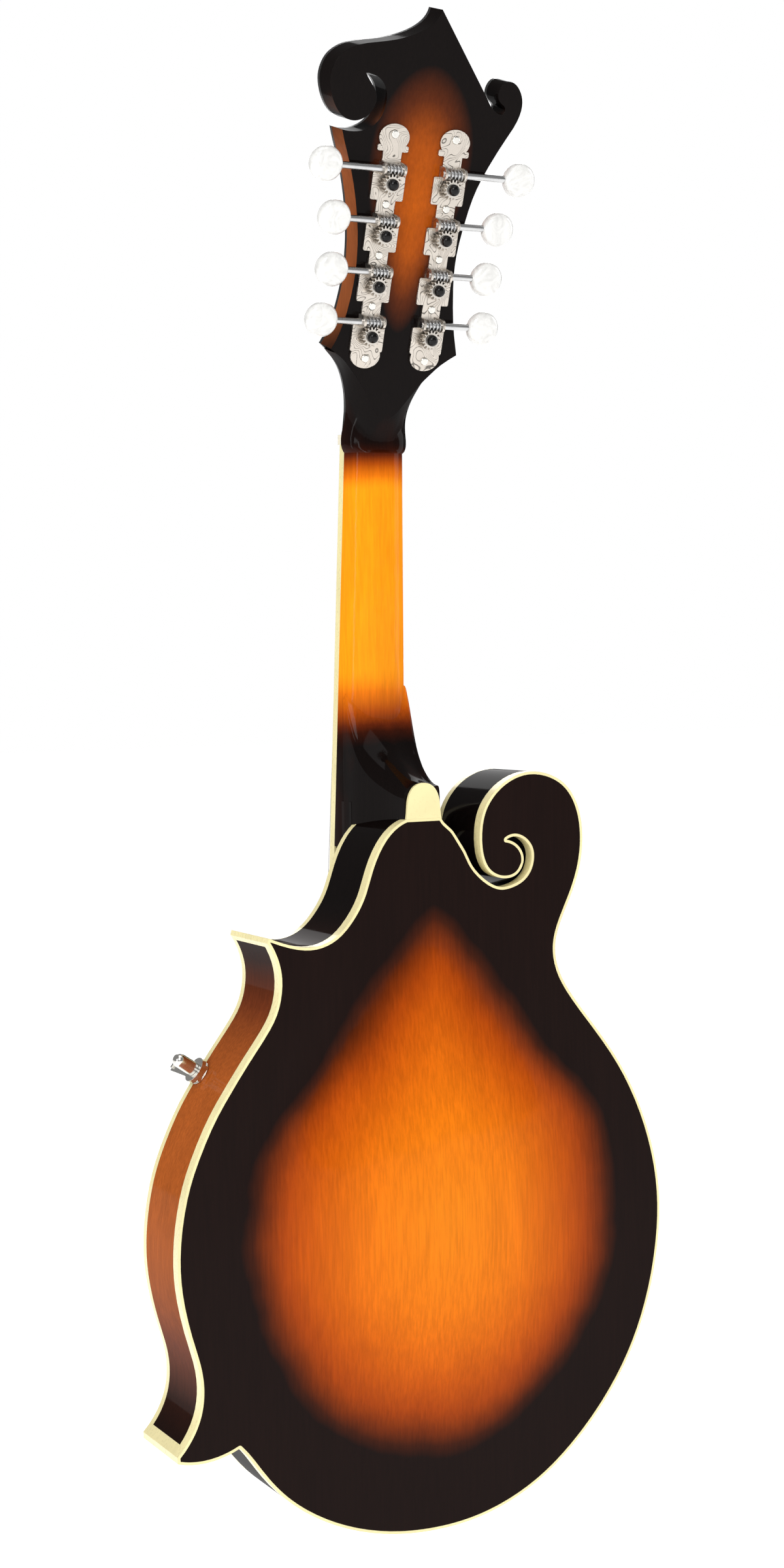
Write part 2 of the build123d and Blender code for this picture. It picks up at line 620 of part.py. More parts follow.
# ---------------------------------------------------------------- bridge
BASE_FRONT = -9.6             # flat front of the bridge base, in Y
saddle_point = board.from_local_coords(Vector(0, -SCALE_LENGTH, STRING_AT_SADDLE))
bridge_z = saddle_point.Z
base_profile = Face(Polyline(
    (-57, 14), (-57, -2.5), (-50, -4.5), (-37, -6.5), (-34, BASE_FRONT), (34, BASE_FRONT),
    (37, -6.5), (50, -4.5), (57, -2.5), (57, 14), close=True).wire())
bridge_base = extrude(Plane(origin=(0, 0, bridge_z - 5.5), x_dir=(1, 0, 0), z_dir=(0, 0, 1))
                      * base_profile, amount=11, dir=(0, 0, 1))
bridge_base = bridge_base & (Pos(0, -0.02, 0) * front_space)
bridge_base = bridge_base - block((-26, 26), (-5.9, 12), (bridge_z - 7, bridge_z + 7))
SADDLE_LOW = -13.4            # underside of the saddle, in Y
WHEEL_THICKNESS = 2.0
bridge_studs = []
thumbwheels = []
saddle_profile = Face(Polyline(
    (-38, SADDLE_LOW), (-38, -16.5), (-33, -20.5), (-27, saddle_point.Y - 0.1),
    (27, saddle_point.Y - 0.1), (33, -20.5), (38, -16.5), (38, SADDLE_LOW), close=True).wire())
bridge_saddle = extrude(Plane(origin=(0, 0, bridge_z - 4.2), x_dir=(1, 0, 0), z_dir=(0, 0, 1))
                        * saddle_profile, amount=8.4, dir=(0, 0, 1))
for side in (-1, 1):
    x = side * BRIDGE_STUD_X
    stud_foot = BASE_FRONT + 4.5
    stud = rod((x, stud_foot, bridge_z), (x, -19.8, bridge_z), BRIDGE_STUD_RADIUS)
    bridge_studs.append(stud)
    bridge_base = bridge_base - rod((x, stud_foot, bridge_z), (x, -40, bridge_z), BRIDGE_STUD_RADIUS)
    bridge_saddle = bridge_saddle - rod((x, 0, bridge_z), (x, -21.6, bridge_z), BRIDGE_STUD_RADIUS + 0.08)
    wheel = rod((x, SADDLE_LOW + WHEEL_THICKNESS + 0.02, bridge_z), (x, SADDLE_LOW + 0.02, bridge_z), 6.0)
    thumbwheels.append(wheel - rod((x, 0, bridge_z), (x, -30, bridge_z), BRIDGE_STUD_RADIUS + 0.06))
for hook, saddle, over_nut, post, radius in string_paths():
    bridge_saddle = bridge_saddle - string_slot(hook, saddle, over_nut, radius, 0.25)

# ---------------------------------------------------------------- tailpiece
SHEET = 1.2
LEG_Y = (5.2, 5.2 + SHEET)    # flat of the tailpiece base
LEG_HALF = 19.0
leg_back = TAIL_Z - 0.3
COVER_Y = -5.0                # front of the cover
cover_gap = 0.3
tail_leg = block((-14, 14), (LEG_Y[0], 45), (leg_back - SHEET, leg_back))
tailpiece_base = block((-LEG_HALF, LEG_HALF), LEG_Y, (leg_back - SHEET, -468)) + tail_leg
for hook, saddle, over_nut, post, radius in string_paths():
    tailpiece_base = tailpiece_base + rod((hook.X, LEG_Y[0], TAIL_HOOK_Z), (hook.X, -1.2, TAIL_HOOK_Z), 0.9)
for x, y in tail_screw_places:
    tailpiece_base = tailpiece_base - rod((x, y, TAIL_Z + 2), (x, y, TAIL_Z - 5), 1.6)
tailpiece_base = tailpiece_base - rod((0, end_pin_y, TAIL_Z + 2), (0, end_pin_y, TAIL_Z - 5), 4.1)

side_in = LEG_HALF + cover_gap
cover_z = (leg_back - SHEET - cover_gap - 1.0, -458.0)
cover_profile = Face(Polyline(
    (-side_in - 1, 8.1), (-side_in - 1, -2.5), (-side_in + 2, COVER_Y), (side_in - 2, COVER_Y),
    (side_in + 1, -2.5), (side_in + 1, 8.1), (side_in - 1.6, 8.1), (side_in - 1.6, 7.0),
    (side_in, 7.0), (side_in, -2.0), (side_in - 2.5, COVER_Y + 1), (-side_in + 2.5, COVER_Y + 1),
    (-side_in, -2.0), (-side_in, 7.0), (-side_in + 1.6, 7.0), (-side_in + 1.6, 8.1),
    close=True).wire())
cover_plane = Plane(origin=(0, 0, cover_z[0]), x_dir=(1, 0, 0), z_dir=(0, 0, 1))
tailpiece_cover = extrude(cover_plane * cover_profile, amount=cover_z[1] - cover_z[0], dir=(0, 0, 1))
tailpiece_cover = tailpiece_cover - block((-30, 30), (6.6, 12), (-530, -506))
tailpiece_cover = tailpiece_cover - block((-30, 30), (2, 12), (-466, -450))
tailpiece_cover = tailpiece_cover + block(
    (-side_in - 0.5, side_in + 0.5), (COVER_Y + 0.5, 4.6), (cover_z[0], cover_z[0] + 1.0))


def wood_screw(start, direction, shank, length, head, dome):
    """Round-headed screw: start is under the head, direction points into the wood."""
    along = Vector(*direction).normalized()
    base = Vector(*start)
    body = rod(base, base + along * length, shank)
    cap = rod(base, base - along * dome, head)
    rim_edges = cap.edges().filter_by(GeomType.CIRCLE).sort_by_distance(base - along * dome)[:1]
    return body + fillet(rim_edges, dome * 0.7)


tailpiece_screws = [
    wood_screw((x, y, leg_back - SHEET), (0, 0, 1), 1.3, 11.5, 2.6, 1.1) for x, y in tail_screw_places
]
pin_root = leg_back - SHEET
end_pin = rod((0, end_pin_y, pin_root), (0, end_pin_y, TAIL_Z + 18), 3.95)
PIN_STEPS = ((0, -1.2, 5.5), (-1.2, -3.0, 3.6), (-3.0, -4.6, 5.6))    # collar, groove, head
for start, end, radius in PIN_STEPS:
    end_pin = end_pin + rod((0, end_pin_y, pin_root + start), (0, end_pin_y, pin_root + end), radius)

# ---------------------------------------------------------------- pickguard and its bracket
guard_low = 4.6               # rear of the pickguard, below the fingerboard's surface
guard_high = 2.4
guard_x = 20.2
straight = line((guard_x, -326), (guard_x, -221))
guard_curve = curve([(guard_x, -221), (28, -228), (41, -236), (52, -246), (60, -258), (66, -272),
                     (73, -288), (77, -303), (73, -320), (58, -332), (38, -335), (guard_x, -326)])
guard_face = outline(straight, guard_curve)
guard_inner = inset(guard_face, 1.4)
pickguard = extrude(board * Pos(0, 0, -guard_low) * guard_inner, amount=guard_low - guard_high, dir=neck_out)
pickguard_binding = extrude(board * Pos(0, 0, -guard_low) * (guard_face - guard_inner),
                            amount=guard_low - guard_high, dir=neck_out)
guard_pins = []
for t in (-236, -268):
    pin = rod(board.from_local_coords(Vector(13, t, -3.5)),
              board.from_local_coords(Vector(29, t, -3.5)), 0.8)
    guard_pins.append(pin)
    pickguard = pickguard - pin
    pickguard_binding = pickguard_binding - pin
    board_core = board_core - pin
    board_binding = board_binding - pin

bracket_along = Vector(-bracket_out.Z, 0, bracket_out.X)
PAD = 0.6
LEG = 1.5
ARM_REACH = 40.0
BRACKET_WIDTH = 8.0


def bracket_bar(across, y, outward):
    """Box beside the bracket's screw: along the rim, in Y, and away from the rim."""
    centre = bracket_place + bracket_along * (sum(across) / 2) + bracket_out * (sum(outward) / 2)
    centre = Vector(centre.X, sum(y) / 2, centre.Z)
    box = Box(across[1] - across[0], y[1] - y[0], outward[1] - outward[0])
    return Plane(origin=centre, x_dir=bracket_along, z_dir=bracket_out) * box


bracket_axis = bracket_place
screw_y = bracket_axis.Y
half_bar = BRACKET_WIDTH / 2
leg = bracket_bar((-half_bar, half_bar), (-16, screw_y + 5), (PAD, PAD + LEG))
arm_corner = board.to_local_coords(bracket_axis)
arm_angle = degrees(atan2(bracket_out.Z, bracket_out.X))
arm = board * Pos(arm_corner.X, arm_corner.Y, -guard_low - LEG / 2) * Rot(0, 0, arm_angle)
arm = arm * Pos((PAD + LEG - ARM_REACH) / 2, 0, 0) * Box(ARM_REACH + PAD + LEG, BRACKET_WIDTH, LEG)
bracket = leg + arm - bar(board, (0, 140), (-400, -200), (-guard_low, 60))
through = rod(bracket_axis - bracket_out * 2, bracket_axis + bracket_out * 20, 2.1)
bracket = bracket - through
pad = rod(bracket_axis + bracket_out * 0.1, bracket_axis + bracket_out * PAD, 5.6) - through
rosette_base = PAD + LEG
rosette = rod(bracket_axis + bracket_out * rosette_base,
              bracket_axis + bracket_out * (rosette_base + 2.2), 6.2) - through
thumb_base = rosette_base + 2.2 + 0.1
thumbscrew = rod(bracket_axis - bracket_out * 9, bracket_axis + bracket_out * thumb_base, 1.45)
thumbscrew = thumbscrew + rod(bracket_axis + bracket_out * 0.2, bracket_axis + bracket_out * thumb_base, 2.03)
knob_end = thumb_base + 11.5
knob = rod(bracket_axis + bracket_out * thumb_base, bracket_axis + bracket_out * knob_end, 3.4)
knob_tip = knob.edges().filter_by(GeomType.CIRCLE).sort_by_distance(bracket_axis + bracket_out * knob_end)
thumbscrew = thumbscrew + fillet(knob_tip[:1], 3.2)

# ---------------------------------------------------------------- geared tuners
# In the tuner frame x points to the bass side, y up the headstock, z out of its rear face.
post_rows = (("treble", 1), ("bass", -1))
post_heights = [FIRST_POST + POST_PITCH * i for i in range(4)]
PLATE_SCREWS = (-10.8, 13.4, 36.6, 59.6, 90.7)        # up from the first post
POST_TIP = -26.6
BUSHING_RADIUS = 4.2
BUSHING_DEPTH = 8.0
CAP_RADIUS = 2.6
CAP_HEIGHT = 3.0


def post_place(side, height):
    return Pos(-side * POST_HALF_SPACING, height, 0)


def gear_blank():
    """Helical gear: fifteen teeth with a mid-plane gap facing up the headstock."""
    pitch_angle = 2 * pi / GEAR_TEETH
    levels = [      # radius, half thickness of a tooth there
        (GEAR_PITCH_RADIUS - 0.72, 0.36), (GEAR_PITCH_RADIUS, 0.33),
        (GEAR_PITCH_RADIUS + 0.42, 0.17),
    ]
    corners = []
    for tooth in range(GEAR_TEETH):
        middle = pi / 2 + (tooth + 0.5) * pitch_angle
        flank = [(radius, -half / radius) for radius, half in levels]
        flank += [(radius, half / radius) for radius, half in reversed(levels)]
        for radius, angle in flank:
            corners.append((radius * cos(middle + angle), radius * sin(middle + angle)))
    profile = Face(Polyline(*corners, close=True).wire())
    lead_angle = atan2(THREAD_PITCH, 2 * pi * WORM_PITCH_RADIUS)
    twist = GEAR_THICKNESS * tan(lead_angle) / GEAR_PITCH_RADIUS * 180 / pi
    low = GEAR_MID_HEIGHT - GEAR_THICKNESS / 2
    turned = Pos(0, 0, low) * Rot(0, 0, twist / 2) * profile
    return Solid.extrude_linear_with_rotation(
        turned.face(), Vector(0, 0, low), Vector(0, 0, GEAR_THICKNESS), -twist)


def gear_and_post():
    """Gear, string post, its cap screw and the string's turns: separate pieces that turn as one."""
    low = GEAR_MID_HEIGHT - GEAR_THICKNESS / 2
    high = GEAR_MID_HEIGHT + GEAR_THICKNESS / 2
    post = rod((0, 0, POST_TIP), (0, 0, low), POST_RADIUS)
    groove = rod((0, 0, WINDING[0]), (0, 0, WINDING[1]), 4) - rod((0, 0, -30), (0, 0, 0), 2.4)
    post = post - groove + rod((0, 0, low), (0, 0, high), 2.0)
    post = post - rod((-5, 0, -23.4), (5, 0, -23.4), 0.7) - rod((0, 0, high - 5), (0, 0, high + 1), 1.02)
    wheel = gear_blank() - rod((0, 0, low - 1), (0, 0, high + 1), 2.02)
    cap = rod((0, 0, high), (0, 0, high + CAP_HEIGHT), CAP_RADIUS)
    top_edge = cap.edges().filter_by(GeomType.CIRCLE).sort_by(Axis.Z)[-1:]
    cap = fillet(top_edge, 2.2) + rod((0, 0, high - 4.5), (0, 0, high + 0.5), 1.0)
    turns = rod((0, 0, WINDING[0] + 0.1), (0, 0, WINDING[1] - 0.1), WINDING_RADIUS)
    turns = turns - rod((0, 0, -30), (0, 0, 0), 2.44)
    return post, wheel, cap, turns


def worm_thread():
    """Right-hand trapezoidal thread round the x axis, with a ridge facing the gear at x = 0."""
    turns = WORM_LENGTH / THREAD_PITCH
    root = SHAFT_RADIUS - 0.15
    half_root = 0.46
    half_tip = 0.15
    path = Helix(THREAD_PITCH, WORM_LENGTH, root).edge()
    profile = Face(Polyline((root, -half_root), (WORM_TIP_RADIUS, -half_tip),
                            (WORM_TIP_RADIUS, half_tip), (root, half_root), close=True).wire())
    section = Plane.XZ * profile
    if section.center().Z < -1:
        section = mirror(section, about=Plane.XY)
    thread = sweep(section, path=path, is_frenet=True)
    return Pos(0, 0, -WORM_LENGTH / 2) * thread


def worm_shaft(out, reach):
    """Worm and its shaft along x, from the inner lug to inside the button."""
    inner = -out * (LUG_INNER + LUG_THICKNESS + 0.5)
    shaft = rod((inner, 0, 0), (out * (reach - 0.5), 0, 0), SHAFT_RADIUS)
    thread = Rot(-90, 0, 0) * Rot(0, 90, 0) * worm_thread_solid
    return shaft + thread


def button(out, reach):
    """Round flat button bored for its shaft."""
    disc = Cylinder(BUTTON_RADIUS, BUTTON_THICKNESS)
    disc = fillet(disc.edges().filter_by(GeomType.CIRCLE), 3.2)
    disc = Pos(out * reach, 0, 0) * disc
    return disc - rod((0, 0, 0), (out * (reach - 0.4), 0, 0), SHAFT_RADIUS + 0.02)


def tuner_plate(side):
    """Ornamental plate with four pairs of lugs, holes for the posts and five screws."""
    first = post_heights[0]
    shape = Rectangle(9.4, post_heights[-1] - first + 34)
    shape = Pos(0, (post_heights[-1] + first) / 2 + 5.4) * shape
    for height in post_heights:
        shape = shape + Pos(0, height - 1.4) * RectangleRounded(16.6, 12.4, 0.8)
    top = first + PLATE_SCREWS[-1]
    low = first + PLATE_SCREWS[0]
    for centre, way in ((top, 1), (low, -1)):
        shape = shape + Pos(0, centre - way * 1.4) * Ellipse(7.6, 6.0)
        shape = shape + Pos(0, centre - way * 6.2) * RectangleRounded(15.6, 2.8, 0.8)
    plate = extrude(shape, amount=TUNER_PLATE)
    for height in post_heights:
        plate = plate - Pos(0, height, 0) * Cylinder(POST_RADIUS + POST_FIT, 10)
        for end in (-1, 1):
            x = sorted((end * LUG_INNER, end * (LUG_INNER + LUG_THICKNESS)))
            axis_y = height + CENTRE_DISTANCE
            lug = block(x, (axis_y - 3.0, axis_y + 3.0), (0, GEAR_MID_HEIGHT))
            lug = lug + rod((x[0], axis_y, GEAR_MID_HEIGHT), (x[1], axis_y, GEAR_MID_HEIGHT), 3.0)
            lug = lug - rod((x[0] - 1, axis_y, GEAR_MID_HEIGHT), (x[1] + 1, axis_y, GEAR_MID_HEIGHT),
                            SHAFT_RADIUS + SHAFT_FIT)
            plate = plate + lug
    for offset_up in PLATE_SCREWS:
        plate = plate - Pos(0, first + offset_up, 0) * Cylinder(1.15, 10)
    return head_back * (Pos(-side * POST_HALF_SPACING, 0, 0) * plate)


plate_screws = []
post_bushings = []
screw_bores = []
for row, side in post_rows:
    for offset_up in PLATE_SCREWS:
        place = Pos(-side * POST_HALF_SPACING, FIRST_POST + offset_up, 0)
        screw = wood_screw((0, 0, TUNER_PLATE), (0, 0, -1), 1.1, 8.0, 1.9, 0.9)
        plate_screws.append(head_back * (place * screw))
        screw_bores.append(head_back * (place * rod((0, 0, -7), (0, 0, 1), 1.12)))
    for height in post_heights:
        place = post_place(side, height)
        bush = rod((0, 0, -HEAD_WOOD - OVERLAY - 1.2), (0, 0, -HEAD_WOOD - OVERLAY), 5.2)
        bush = bush + rod((0, 0, -HEAD_WOOD - OVERLAY), (0, 0, -BUSHING_DEPTH), BUSHING_RADIUS)
        bush = bush - rod((0, 0, -30), (0, 0, 1), POST_RADIUS + POST_FIT)
        post_bushings.append(head_back * (place * bush))
        seat = rod((0, 0, -HEAD_WOOD - OVERLAY - 1), (0, 0, -BUSHING_DEPTH), BUSHING_RADIUS + 0.03)
        screw_bores.append(head_back * (place * (seat + rod((0, 0, -9), (0, 0, 1), 3.6))))
for bore in screw_bores:
    neck_wood = neck_wood - bore
    overlay = overlay - bore

# truss rod cover and its three screws
cover_outline = outline(
    curve([(8.6, 7.5), (8.8, 12), (6.8, 18), (5.8, 24), (6.6, 30), (5.4, 35), (0, 38.5), (-5.4, 35),
           (-6.6, 30), (-5.8, 24), (-6.8, 18), (-8.8, 12), (-8.6, 7.5)]),
    line((-8.6, 7.5), (8.6, 7.5)))
cover_low = HEAD_WOOD + OVERLAY + 0.02
truss_cover = head_prism(cover_outline, cover_low, cover_low + 1.6)
cover_screws = []
for x, s in ((-6.4, 11.5), (6.4, 11.5), (0, 33.5)):
    axis_point = head_front.from_local_coords(Vector(x, s, cover_low + 1.6))
    bore = rod(axis_point + head_rear * -3, axis_point + head_rear * 7.4, 0.92)
    truss_cover = truss_cover - bore
    overlay = overlay - bore
    neck_wood = neck_wood - bore
    cover_screws.append(wood_screw(axis_point, head_rear, 0.9, 7, 1.6, 0.8))

# ---------------------------------------------------------------- strings
strings = []
for hook, saddle, over_nut, post, radius in string_paths():
    wire = rod(hook, saddle, radius) + rod(saddle, over_nut, radius) + rod(over_nut, post, radius)
    for bend in (saddle, over_nut):
        wire = wire + Pos(*bend) * Sphere(radius)
    strings.append(wire)

# ---------------------------------------------------------------- write the nodes
worm_thread_solid = worm_thread()
pieces = {
    "top_plate": [top_plate],
    "back_plate": [back_plate],
    "rim": [rim],
    "body_bindings": [top_binding, back_binding],
    "head_block": [head_block],
    "tail_and_point_blocks": [upper_point_block, lower_point_block, tail_block],
    "kerfed_linings": [top_lining, back_lining],
    "tone_bars": [bass_tone_bar, treble_tone_bar],
    "neck": [neck_wood],
    "heel_cap": [heel_cap],
    "point_caps": [upper_point_cap, lower_point_cap],
    "truss_rod": [truss_rod],
    "truss_rod_nut": [truss_nut],
    "truss_rod_cover": [truss_cover],
    "headstock_overlay": [overlay],
    "fingerboard": [board_core],
    "fingerboard_binding": [board_binding],
    "frets": fret_wires,
    "position_dots": position_dots,
    "nut": [nut],
    "bridge_base": [bridge_base],
    "bridge_saddle": [bridge_saddle],
    "bridge_studs": bridge_studs,
    "bridge_thumbwheel_bass": [thumbwheels[0]],
    "bridge_thumbwheel_treble": [thumbwheels[1]],
    "tailpiece_base": [tailpiece_base],
    "tailpiece_cover": [tailpiece_cover],
    "end_pin": [end_pin],
    "pickguard": [pickguard, pickguard_binding],
    "pickguard_bracket": [bracket, pad, rosette],
    "pickguard_pins": guard_pins,
    "bracket_thumbscrew": [thumbscrew],
    "strings": strings,
    "tuner_plates": [tuner_plate(1), tuner_plate(-1)],
    "wood_screws": plate_screws + tailpiece_screws + cover_screws,
    "post_bushings": post_bushings,
}
for row, side in post_rows:
    out = -side
    for index, height in enumerate(post_heights):
        place = post_place(side, height)
        worm_place = place * Pos(0, CENTRE_DISTANCE, GEAR_MID_HEIGHT)
        name = f"tuner_{row}_{index + 1}"
        reach = BUTTON_REACH[index] - POST_HALF_SPACING
        pieces[f"{name}_post"] = [head_back * (place * part) for part in gear_and_post()]
        pieces[f"{name}_button"] = [head_back * (worm_place * button(out, reach))]
        pieces[f"{name}_worm"] = [head_back * (worm_place * worm_shaft(out, reach))]
for name, shapes in pieces.items():
    save(name, *shapes)
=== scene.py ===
import bpy
import bmesh
import json
from math import sin, cos, pi, radians
from mathutils import Matrix, Vector


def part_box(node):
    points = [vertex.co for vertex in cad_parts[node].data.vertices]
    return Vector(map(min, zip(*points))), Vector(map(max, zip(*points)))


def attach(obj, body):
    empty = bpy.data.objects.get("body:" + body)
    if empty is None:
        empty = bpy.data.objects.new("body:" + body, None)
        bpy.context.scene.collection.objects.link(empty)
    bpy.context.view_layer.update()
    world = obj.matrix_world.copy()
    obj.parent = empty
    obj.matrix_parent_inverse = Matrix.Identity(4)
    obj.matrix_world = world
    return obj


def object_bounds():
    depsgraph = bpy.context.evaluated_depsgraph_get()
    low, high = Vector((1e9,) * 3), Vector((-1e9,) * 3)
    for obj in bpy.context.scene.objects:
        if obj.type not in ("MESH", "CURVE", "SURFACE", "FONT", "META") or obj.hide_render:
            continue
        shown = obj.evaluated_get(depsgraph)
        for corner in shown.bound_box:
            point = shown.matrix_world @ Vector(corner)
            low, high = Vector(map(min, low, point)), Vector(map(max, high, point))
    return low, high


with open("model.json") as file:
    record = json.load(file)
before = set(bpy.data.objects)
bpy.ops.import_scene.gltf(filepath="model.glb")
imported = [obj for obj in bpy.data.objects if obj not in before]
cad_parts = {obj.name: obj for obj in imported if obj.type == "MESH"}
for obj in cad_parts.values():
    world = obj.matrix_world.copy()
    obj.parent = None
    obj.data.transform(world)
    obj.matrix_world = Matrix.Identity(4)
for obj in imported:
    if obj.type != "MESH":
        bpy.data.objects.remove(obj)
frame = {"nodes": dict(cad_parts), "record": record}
cad_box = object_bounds()
MM = 0.001


# ------------------------------------------------------------------ shader helpers
class Shader:
    """A material whose nodes are added one call at a time; every call returns an output socket."""

    def __init__(self, name, **constants):
        self.material = bpy.data.materials.new(name)
        self.material.use_nodes = True
        self.tree = self.material.node_tree
        self.surface = self.tree.nodes["Principled BSDF"]
        for socket, value in constants.items():
            self.surface.inputs[socket.replace("_", " ")].default_value = value
        self.coordinates = self.tree.nodes.new("ShaderNodeTexCoord").outputs
        self.place = self.coordinates["Object"]

    def put(self, node_input, value):
        if isinstance(value, bpy.types.NodeSocket):
            self.tree.links.new(value, node_input)
        elif value is not None:
            node_input.default_value = value

    def math(self, operation, first, second=None, third=None):
        node = self.tree.nodes.new("ShaderNodeMath")
        node.operation = operation
        for socket, value in zip(node.inputs, (first, second, third)):
            self.put(socket, value)
        return node.outputs[0]

    def split(self, vector=None):
        node = self.tree.nodes.new("ShaderNodeSeparateXYZ")
        self.put(node.inputs[0], vector or self.place)
        return node.outputs

    def scaled(self, scale, turn=(0, 0, 0)):
        node = self.tree.nodes.new("ShaderNodeMapping")
        self.put(node.inputs["Vector"], self.place)
        node.inputs["Scale"].default_value = scale
        node.inputs["Rotation"].default_value = turn
        return node.outputs[0]

    def noise(self, scale=(1, 1, 1), detail=4.0, roughness=0.6, distortion=0.0, turn=(0, 0, 0)):
        node = self.tree.nodes.new("ShaderNodeTexNoise")
        self.put(node.inputs["Vector"], self.scaled(scale, turn))
        node.inputs["Scale"].default_value = 1.0
        node.inputs["Detail"].default_value = detail
        node.inputs["Roughness"].default_value = roughness
        node.inputs["Distortion"].default_value = distortion
        return node.outputs["Fac"]

    def ramp(self, factor, stops):
        node = self.tree.nodes.new("ShaderNodeValToRGB")
        self.put(node.inputs[0], factor)
        elements = node.color_ramp.elements
        while len(elements) < len(stops):
            elements.new(0.5)
        for element, (position, colour) in zip(elements, stops):
            element.position = position
            element.color = tuple(colour) + (1.0,)
        return node.outputs[0]

    def span(self, value, low, high, to_low=0.0, to_high=1.0):
        node = self.tree.nodes.new("ShaderNodeMapRange")
        node.interpolation_type = "SMOOTHSTEP"
        for socket, item in zip(node.inputs, (value, low, high, to_low, to_high)):
            self.put(socket, item)
        return node.outputs[0]

    def mix(self, factor, first, second, blend="MIX"):
        node = self.tree.nodes.new("ShaderNodeMix")
        node.data_type = "RGBA"
        node.blend_type = blend
        self.put(node.inputs["Factor"], factor)
        self.put(node.inputs["A"], four(first))
        self.put(node.inputs["B"], four(second))
        return node.outputs["Result"]

    def grey(self, value):
        return self.ramp(value, [(0, (0, 0, 0)), (1, (1, 1, 1))])

    def bump(self, height, depth, strength=1.0, edge=0.00025):
        """Relief from height; edge is the radius that sharp corners are shaded with."""
        corner = self.tree.nodes.new("ShaderNodeBevel")
        corner.samples = 4
        corner.inputs["Radius"].default_value = edge
        node = self.tree.nodes.new("ShaderNodeBump")
        node.inputs["Strength"].default_value = strength
        node.inputs["Distance"].default_value = depth
        self.put(node.inputs["Height"], height)
        self.put(node.inputs["Normal"], corner.outputs[0])
        self.put(self.surface.inputs["Normal"], node.outputs[0])
        self.put(self.surface.inputs["Coat Normal"], corner.outputs[0])

    def set(self, **sockets):
        for socket, value in sockets.items():
            self.put(self.surface.inputs[socket.replace("_", " ")], value)
        return self


def four(value):
    if isinstance(value, (tuple, list)) and len(value) == 3:
        return (*value, 1.0)
    return value


def linear(red, green, blue):
    """Linear colour of an sRGB one given in 0 to 255."""
    return tuple((c / 255 / 12.92) if c < 10 else ((c / 255 + 0.055) / 1.055) ** 2.4
                 for c in (red, green, blue))


# ------------------------------------------------------------------ finishes
BURST = [(0.0, linear(244, 134, 20)), (0.35, linear(232, 119, 15)), (0.55, linear(212, 100, 12)),
         (0.7, linear(190, 82, 10)), (0.8, linear(165, 66, 9)), (0.88, linear(120, 46, 8)),
         (0.95, linear(62, 24, 8)), (1.0, linear(24, 11, 8))]
DARK = linear(15, 10, 9)


def grain(shader, along=(1, 1, 0.04), fine=900.0):
    """Long fine fibres and soft cloudy shading of a wood, as two values from 0 to 1."""
    fibres = shader.noise(tuple(fine * a for a in along), detail=6.0, roughness=0.7)
    cloud = shader.noise(tuple(26 * (a + 0.25) for a in along), detail=3.0, distortion=1.2)
    return fibres, cloud


def lacquer(shader):
    """Clear gloss coat, slightly uneven where it has been rubbed."""
    rubbed = shader.noise((60, 60, 60), detail=6.0, roughness=0.7)
    shader.set(Roughness=0.6, Specular_IOR_Level=0.0, Coat_Weight=0.14, Coat_IOR=1.5)
    shader.set(Coat_Roughness=shader.span(rubbed, 0.3, 0.75, 0.04, 0.13))


def wood_tint(shader, colour, strength=0.30):
    """Darkens a colour along the grain and lightens it in the clouds."""
    fibres, cloud = grain(shader)
    shade = shader.span(fibres, 0.3, 0.7, 1 - strength, 1.0)
    drift = shader.span(cloud, 0.3, 0.7, 0.9, 1.0)
    both = shader.math("MULTIPLY", shade, drift)
    shader.bump(fibres, 0.00002, 0.25)
    return shader.mix(1.0, colour, shader.grey(both), "MULTIPLY")


def teardrop(shader, centre, half_width, up, down, point):
    """Distance from a teardrop's middle: 0 there, 1 on its outline, drawn in X and Z."""
    x, _, z = shader.split()
    across = shader.math("ABSOLUTE", shader.math("SUBTRACT", x, centre[0]))
    across = shader.math("DIVIDE", across, half_width)
    rise = shader.math("SUBTRACT", z, centre[1])
    above = shader.math("GREATER_THAN", rise, 0.0)
    reach = shader.math("MULTIPLY_ADD", above, up - down, down)
    along = shader.math("DIVIDE", shader.math("ABSOLUTE", rise), reach)
    power = shader.span(rise, 0.0, 0.085, 2.0, point)
    total = shader.math("ADD", shader.math("POWER", across, power), shader.math("POWER", along, power))
    return shader.math("POWER", total, shader.math("DIVIDE", 1.0, power))


def burst_wood(name, centre, half_width, up, down, point, stops=BURST):
    shader = Shader(name)
    reach = teardrop(shader, centre, half_width, up, down, point)
    wander = shader.noise((14, 14, 14), detail=3.0)
    reach = shader.math("ADD", reach, shader.span(wander, 0.2, 0.8, -0.035, 0.035))
    shader.set(Base_Color=wood_tint(shader, shader.ramp(reach, stops), 0.24))
    lacquer(shader)
    return shader.material


def side_wood():
    """Sides: dark at both ends, red-brown at the waist, with the grain running round the body."""
    shader = Shader("side_wood")
    z = shader.split()[2]
    up = shader.span(z, -0.30, -0.215)
    down = shader.span(z, -0.36, -0.47)
    dark = shader.math("MAXIMUM", up, down)
    stops = [(0, linear(172, 88, 34)), (0.45, linear(110, 50, 22)), (0.8, linear(44, 20, 12)),
             (1, linear(15, 10, 9))]
    shader.set(Base_Color=wood_tint(shader, shader.ramp(dark, stops), 0.3))
    lacquer(shader)
    return shader.material


